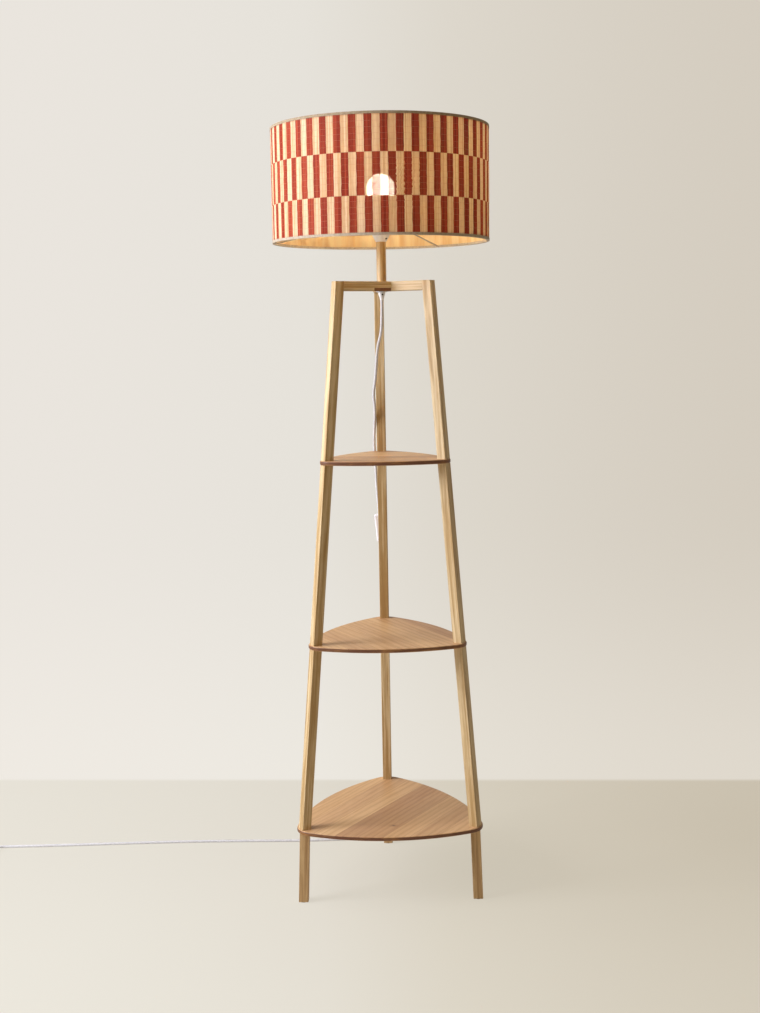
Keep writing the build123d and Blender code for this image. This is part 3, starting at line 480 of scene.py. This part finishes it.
def glowMaterial():
    material, tree = startMaterial("bulbGlow")
    facing = put(tree, "ShaderNodeLayerWeight", {"Blend": 0.3}).outputs["Facing"]
    tone = blendColour(tree, facing, bulbLook["middle"], bulbLook["rim"])
    glow = surface(tree, {"Base Color": bulbLook["glass"], "Roughness": bulbLook["roughness"],
                          "Emission Color": tone, "Emission Strength": bulbLook["strength"]})
    # seen through the strands it stays a clear white disc
    disc = put(tree, "ShaderNodeEmission", {"Color": bulbLook["middle"],
                                            "Strength": bulbLook["seenStrength"]}).outputs[0]
    seen = put(tree, "ShaderNodeLightPath").outputs["Is Camera Ray"]
    closeMaterial(tree, mixShaders(tree, seen, glow, disc))
    return material


dress("bulb_globe", glowMaterial())
print("lamp: bulb lit")


# shade: upright strands bound by fine threads, in a check of two tones, over a thin liner

shade = {"low": 1.38445, "high": 1.61445, "stripes": 92, "firstRed": 3.96, "rows": (1.4584, 1.5400)}

# "open" is how far light slips between strands at least, and how much more at their sides
strands = {"perStripe": 6, "crest": 0.22445, "valley": 0.22408, "lift": 0.00008,
           "rowEdge": 0.0012, "rowDip": 0.00022, "sides": (0.38, 0.49), "parted": (0.42, 0.66),
           "waver": 0.00026, "waves": 6, "waveTurns": (60, 230), "waveRise": (90, 420), "waveSum": 2.4,
           "roughness": 0.7, "specular": 0.2, "depth": 0.0002,
           "looks": {"strandRed": {"tones": (srgb(206, 92, 62), srgb(160, 48, 30)),
                                   "through": (srgb(140, 14, 4), srgb(98, 4, 2)),
                                   "open": (0.02, 0.34), "passLight": 0.34},
                     "strandNatural": {"tones": (srgb(252, 238, 212), srgb(228, 199, 156)),
                                       "through": (srgb(248, 220, 180), srgb(218, 178, 128)),
                                       "open": (0.04, 0.42), "passLight": 0.42}}}

# where the strands were disturbed; each wave has size, rise, turns and start
rumple = {"angle": 14.0, "spread": 7.5, "height": 1.484, "reach": 0.042, "sway": 0.0011, "near": 0.05,
          "waves": ((1.0, 640, 41, 0.0), (0.6, 1130, -67, 1.3))}

# "levels" are the heights above and below a thread at which the strands get a row of corners
threads = {"gap": 0.0115, "radius": 0.00013, "sunk": 0.00002, "dip": 0.00016, "dipWidth": 0.0011,
           "levels": (0.0, 0.0012), "rumpledLevels": (0.0, 0.0012, 0.0038), "around": 368, "sides": 6,
           "tones": (srgb(218, 160, 126), srgb(186, 116, 88)), "roughness": 0.7, "passLight": 0.35}

liner = {"radius": 0.2234, "inset": 0.0004, "between": (1.46, 1.54), "around": 276,
         "tones": (srgb(254, 236, 184), srgb(242, 204, 138)), "roughness": 0.6,
         "passLight": 0.30, "clear": 0.16}

tapes = {"radius": 0.225, "warp": 0.0011, "weft": 0.0009, "roughness": 0.8, "sheen": 0.2, "depth": 0.00012,
         "looks": {"top_tape": ("topTape", (srgb(184, 164, 134), srgb(148, 126, 96))),
                   "bottom_tape": ("bottomTape", (srgb(200, 186, 164), srgb(168, 150, 126)))}}

strandCount = shade["stripes"] * strands["perStripe"]
strandWidth = 2 * math.pi * strands["crest"] / strandCount


def shadePiece(name, vertices, faces, *materials):
    mesh = bpy.data.meshes.new(name)
    mesh.from_pydata(vertices, [], faces)
    mesh.update()
    for material in materials:
        mesh.materials.append(material)
    mesh.polygons.foreach_set("use_smooth", [True] * len(mesh.polygons))
    mesh.update()
    piece = newObject(name, mesh)
    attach(piece, "shade")
    return piece


# light from within passes through the cloth, and slips past it where it is open
def clothShader(tree, front, passed, passLight, opening=None):
    through = put(tree, "ShaderNodeBsdfTranslucent", {"Color": passed}).outputs[0]
    cloth = mixShaders(tree, passLight, surface(tree, front), through)
    if opening is None:
        return cloth
    clear = put(tree, "ShaderNodeBsdfTransparent").outputs[0]
    return mixShaders(tree, opening, cloth, clear)


def aroundShade(tree, x, y, radius):
    return calc(tree, "MULTIPLY", calc(tree, "ARCTAN2", x, calc(tree, "MULTIPLY", y, -1.0)), radius)


def strandMaterial(name, look):
    material, tree = startMaterial(name)
    u, v, _ = splitVector(tree, put(tree, "ShaderNodeUVMap", uv_map="strands").outputs[0])
    place = calc(tree, "DIVIDE", u, strandWidth)
    chance = chanceOf(tree, calc(tree, "FLOOR", place))
    streakPoint = joinVector(tree, place, calc(tree, "MULTIPLY", v, 22.0),
                             calc(tree, "MULTIPLY", chance, 9.0))
    streak = noise(tree, streakPoint, 1.3, 5.0, 0.6)
    hairPoint = joinVector(tree, calc(tree, "MULTIPLY", place, 7.0), calc(tree, "MULTIPLY", v, 90.0), 0.0)
    hair = noise(tree, hairPoint, 1.0, 3.0, 0.6)
    tone = calc(tree, "ADD", calc(tree, "MULTIPLY", chance, 0.6), calc(tree, "MULTIPLY", streak, 0.9))
    tone = step(tree, calc(tree, "MULTIPLY_ADD", hair, 0.3, tone), 0.55, 1.25)
    colour = blendColour(tree, tone, *look["tones"])
    passed = blendColour(tree, tone, *look["through"])
    gap = step(tree, fromMiddle(tree, place), *strands["sides"])
    gap = calc(tree, "MULTIPLY", gap, step(tree, streak, *strands["parted"]), clamp=True)
    least, more = look["open"]
    gap = calc(tree, "MULTIPLY_ADD", gap, more, least, clamp=True)
    relief = bump(tree, calc(tree, "MULTIPLY_ADD", hair, 0.5, streak), strands["depth"], 0.5)
    front = {"Base Color": colour, "Roughness": strands["roughness"],
             "Specular IOR Level": strands["specular"], "Normal": relief}
    closeMaterial(tree, clothShader(tree, front, passed, look["passLight"], gap))
    return material


def threadMaterial():
    material, tree = startMaterial("shadeThread")
    tone = blendColour(tree, noise(tree, objectPoint(tree), 1800.0), *threads["tones"])
    front = {"Base Color": tone, "Roughness": threads["roughness"]}
    closeMaterial(tree, clothShader(tree, front, tone, threads["passLight"]))
    return material


def linerMaterial():
    material, tree = startMaterial("shadeLiner")
    x, y, z = splitVector(tree, objectPoint(tree))
    around = aroundShade(tree, x, y, liner["radius"])
    bands, fine = (noise(tree, joinVector(tree, calc(tree, "MULTIPLY", around, across),
                                          calc(tree, "MULTIPLY", z, upright), 0.0), 1.0, detail)
                   for across, upright, detail in ((46.0, 2.0, 3.0), (700.0, 30.0, 2.0)))
    tone = blendColour(tree, step(tree, calc(tree, "MULTIPLY_ADD", fine, 0.3, bands), 0.45, 0.85),
                       *liner["tones"])
    front = {"Base Color": tone, "Roughness": liner["roughness"], "Normal": bump(tree, fine, 0.0001, 0.4)}
    closeMaterial(tree, clothShader(tree, front, tone, liner["passLight"], liner["clear"]))
    return material


def tapeMaterial(name, tones):
    material, tree = startMaterial(name)
    x, y, z = splitVector(tree, objectPoint(tree))
    around = aroundShade(tree, x, y, tapes["radius"])
    warp = calc(tree, "SINE", calc(tree, "MULTIPLY", around, 2 * math.pi / tapes["warp"]))
    weft = calc(tree, "SINE", calc(tree, "MULTIPLY", z, 2 * math.pi / tapes["weft"]))
    weave = calc(tree, "MULTIPLY", warp, weft)
    mottle = noise(tree, joinVector(tree, around, 0.0, z), 160.0, 3.0)
    tone = blendColour(tree, step(tree, calc(tree, "MULTIPLY_ADD", weave, 0.2, mottle), 0.2, 0.8), *tones)
    closeMaterial(tree, surface(tree, {"Base Color": tone, "Roughness": tapes["roughness"],
                                       "Sheen Weight": tapes["sheen"],
                                       "Normal": bump(tree, weave, tapes["depth"], 0.6)}))
    return material


def threadHeights():
    heights, z = [], shade["low"] + 0.5 * threads["gap"]
    while z < shade["high"]:
        heights.append(z)
        z += threads["gap"]
    return heights


def strandLevels(bindings):
    heights = set()
    for t in bindings:
        rumpled = abs(t - rumple["height"]) < rumple["near"]
        for offset in threads["rumpledLevels"] if rumpled else threads["levels"]:
            heights |= {round(t - offset, 6), round(t + offset, 6)}
    edge = strands["rowEdge"]
    for border in shade["rows"]:
        heights -= {h for h in heights if abs(h - border) < edge}
        heights |= {round(border - edge, 6), border, round(border + edge, 6)}
    heights |= {shade["low"], shade["high"]}
    return np.array(sorted(h for h in heights if shade["low"] <= h <= shade["high"]))


def strandPanel(bindings):
    levels = strandLevels(bindings)
    columns = 2 * strandCount
    chance = np.random.default_rng(7)
    index = np.arange(columns)
    angle = np.radians(shade["firstRed"] - 180.0 / shade["stripes"] + 360.0 * index / columns)[None, :]
    crest = (index % 2).astype(float)[None, :]
    tall = levels[:, None]
    lift = np.repeat(chance.uniform(-strands["lift"], strands["lift"], strandCount), 2)[None, :]
    sway = np.zeros((len(levels), columns))
    for _ in range(strands["waves"]):
        turns = int(chance.integers(*strands["waveTurns"]))
        rise = chance.uniform(*strands["waveRise"])
        sway += np.sin(turns * angle + tall * rise + chance.uniform(0, 6.28))
    grid = angle + sway * strands["waver"] / strands["waveSum"] / strands["crest"]
    nearAngle = np.exp(-((np.degrees(angle) - rumple["angle"]) / rumple["spread"]) ** 2)
    nearHeight = np.exp(-((tall - rumple["height"]) / rumple["reach"]) ** 2)
    crinkle = sum(size * np.sin(tall * rise + turns * angle + start)
                  for size, rise, turns, start in rumple["waves"])
    grid = grid + nearAngle * nearHeight * crinkle * rumple["sway"] / strands["crest"]

    radius = strands["valley"] + (strands["crest"] - strands["valley"]) * crest + lift * crest
    dips = [(t, threads["dip"]) for t in bindings] + [(row, strands["rowDip"]) for row in shade["rows"]]
    for height, depth in dips:
        radius = radius - depth * np.exp(-((tall - height) / threads["dipWidth"]) ** 2)
    vertices = np.stack([radius * np.sin(grid), -radius * np.cos(grid), tall + np.zeros_like(grid)],
                        axis=-1).reshape(-1, 3)
    i, j = np.meshgrid(np.arange(len(levels) - 1), index, indexing="ij")
    nextJ = (j + 1) % columns
    faces = np.stack([i * columns + j, i * columns + nextJ, (i + 1) * columns + nextJ,
                      (i + 1) * columns + j], axis=-1).reshape(-1, 4)
    panel = shadePiece("shadeStrands", vertices.tolist(), faces.tolist(),
                       *(strandMaterial(name, look) for name, look in strands["looks"].items()))

    # the two tones change places from stripe to stripe and from row to row
    middle = 0.5 * (levels[:-1] + levels[1:])[:, None]
    band = sum((middle > border).astype(int) for border in shade["rows"])
    stripe = (index // (2 * strands["perStripe"]))[None, :]
    slots = ((stripe + band) % 2).reshape(-1)
    panel.data.polygons.foreach_set("material_index", slots.astype(np.int32))
    layer = panel.data.uv_layers.new(name="strands")
    across = np.stack([j, j + 1, j + 1, j], axis=-1).reshape(-1) * strandWidth / 2
    upright = np.stack([levels[i], levels[i], levels[i + 1], levels[i + 1]], axis=-1).reshape(-1)
    layer.data.foreach_set("uv", np.stack([across, upright], axis=-1).reshape(-1))
    panel.data.update()
    return panel


def threadMesh(bindings):
    vertices, faces = [], []
    around, sides, thick = threads["around"], threads["sides"], threads["radius"]
    for height in bindings:
        base = len(vertices)
        for a in range(around):
            angle = 2 * math.pi * a / around
            here, there = base + a * sides, base + (a + 1) % around * sides
            for b in range(sides):
                tilt = 2 * math.pi * b / sides
                r = strands["crest"] - threads["sunk"] + thick * math.cos(tilt)
                vertices.append((r * math.sin(angle), -r * math.cos(angle), height + thick * math.sin(tilt)))
                faces.append((here + b, there + b, there + (b + 1) % sides, here + (b + 1) % sides))
    return vertices, faces


def linerMesh():
    around, radius = liner["around"], liner["radius"]
    heights = (shade["low"] + liner["inset"], *liner["between"], shade["high"] - liner["inset"])
    angles = [2 * math.pi * k / around for k in range(around)]
    vertices = [(radius * math.sin(angle), -radius * math.cos(angle), height)
                for height in heights for angle in angles]
    faces = []
    for level in range(len(heights) - 1):
        for k in range(around):
            a, b = level * around + k, level * around + (k + 1) % around
            faces.append((a, b, b + around, a + around))
    return vertices, faces


bindings = threadHeights()
panel = strandPanel(bindings)
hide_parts("shade_panel")
shadePiece("shadeThreads", *threadMesh(bindings), threadMaterial())
shadePiece("shadeLiner", *linerMesh(), linerMaterial())
for name, (finish, tones) in tapes["looks"].items():
    dress(name, tapeMaterial(finish, tones))
print("lamp: shade woven,", len(panel.data.polygons), "faces")


# floor and backdrop: past a level line the floor takes the backdrop's tone, for what is seen only

# painted light: the floor and backdrop tones darken to the right and grow paler towards the front and the
# lower wall, and for what is seen the floor's own glow stands in for most of its lighting and shade
stage = {"lineAt": 0.6556, "lineSlope": -0.00875, "lineShift": 0.045, "lineSoft": 0.016,
         "leastAhead": 0.3, "across": (-0.35, 0.30), "ownLight": 0.84, "roughness": 0.9, "specular": 0.1,
         "ground": {"left": -14, "right": 14, "near": -9, "far": 60},
         "backdrop": ((0.0, srgb(234, 229, 222)), (0.36, srgb(230, 226, 218)), (0.6, srgb(221, 215, 204)),
                      (1.0, srgb(212, 204, 191))),
         "floor": ((0.0, srgb(229, 225, 214)), (0.36, srgb(225, 220, 208)), (0.6, srgb(217, 210, 194)),
                   (1.0, srgb(208, 199, 181))),
         "lowWall": {"from": -0.12, "to": -0.36, "share": 0.24, "tone": (1.0, 0.96, 0.88, 1.0)},
         "nearFloor": {"from": 0.3, "to": -0.7, "share": 0.16, "tone": (0.95, 0.93, 0.84, 1.0)},
         "cloud": {"scale": 1.2, "share": 0.06, "tone": srgb(200, 190, 170)}}

# the fill is stronger on the left, at the first of its two strengths
fill = {"colour": (1.0, 0.77, 0.50, 1.0), "strength": (0.32, 0.165)}

lamps = ({"name": "keyLeft", "at": (-3.1, -1.0, 2.1), "aim": (0, 0, 0.9), "size": 1.5, "power": 140.0,
          "colour": (0.94, 0.97, 1.12)},
         {"name": "above", "at": (-1.5, -0.3, 3.9), "aim": (0, 0, 0.5), "size": 2.6, "power": 60.0,
          "colour": (1.0, 0.97, 0.93)})


def paler(tree, value, look, tone):
    share = step(tree, value, look["from"], look["to"], 0.0, look["share"])
    return blendColour(tree, share, tone, look["tone"])


def backdropTone(tree, dx, dy, dz):
    ahead = calc(tree, "MAXIMUM", dy, stage["leastAhead"])
    across = step(tree, calc(tree, "DIVIDE", dx, ahead), *stage["across"])
    tone = ramp(tree, across, stage["backdrop"])
    return paler(tree, calc(tree, "DIVIDE", dz, ahead), stage["lowWall"], tone), across


def floorMaterial():
    material, tree = startMaterial("floorAndBackdrop")
    point = objectPoint(tree)
    x, y, z = splitVector(tree, point)
    line = calc(tree, "MULTIPLY_ADD", calc(tree, "ADD", x, stage["lineShift"]), stage["lineSlope"],
                stage["lineAt"])
    past = step(tree, calc(tree, "SUBTRACT", y, line), -stage["lineSoft"], stage["lineSoft"])
    away = [calc(tree, "SUBTRACT", term, start) for term, start in zip((x, y, z), photoView["at"])]
    wall, across = backdropTone(tree, *away)
    near = paler(tree, y, stage["nearFloor"], ramp(tree, across, stage["floor"]))
    cloud = calc(tree, "MULTIPLY", noise(tree, point, stage["cloud"]["scale"]), stage["cloud"]["share"])
    near = blendColour(tree, cloud, near, stage["cloud"]["tone"])
    matt = surface(tree, {"Base Color": near, "Roughness": stage["roughness"],
                          "Specular IOR Level": stage["specular"]})
    glow = put(tree, "ShaderNodeEmission", {"Color": blendColour(tree, past, near, wall),
                                            "Strength": 1.0}).outputs[0]
    share = step(tree, past, 0.0, 1.0, stage["ownLight"], 1.0)
    closeMaterial(tree, mixShaders(tree, calc(tree, "MULTIPLY", share, seenRays(tree)), matt, glow))
    return material


ground = stage["ground"]
floorMesh = bpy.data.meshes.new("floor")
floorMesh.from_pydata([(ground["left"], ground["near"], 0), (ground["right"], ground["near"], 0),
                       (ground["right"], ground["far"], 0), (ground["left"], ground["far"], 0)],
                      [], [(0, 1, 2, 3)])
floorMesh.materials.append(floorMaterial())
floorPiece = newObject("floor", floorMesh)

world = bpy.data.worlds.new("studio")
world.use_nodes = True
bpy.context.scene.world = world
sky = world.node_tree
sky.nodes.clear()
way = splitVector(sky, put(sky, "ShaderNodeTexCoord").outputs["Generated"])
skyTone, _ = backdropTone(sky, *way)
fillStrength = step(sky, way[0], -1.0, 1.0, *fill["strength"])
soft = put(sky, "ShaderNodeBackground", {"Color": fill["colour"], "Strength": fillStrength}).outputs[0]
shown = put(sky, "ShaderNodeBackground", {"Color": skyTone, "Strength": 1.0}).outputs[0]
put(sky, "ShaderNodeOutputWorld", {"Surface": mixShaders(sky, seenRays(sky), soft, shown)})

for lamp in lamps:
    light = bpy.data.lights.new(lamp["name"], "AREA")
    light.size = lamp["size"]
    light.energy = lamp["power"]
    light.color = lamp["colour"]
    placed = newObject(lamp["name"], light)
    placed.location = lamp["at"]
    placed.rotation_euler = (Vector(lamp["at"]) - Vector(lamp["aim"])).to_track_quat("Z", "Y").to_euler()
print("lamp: floor, backdrop and lights set")
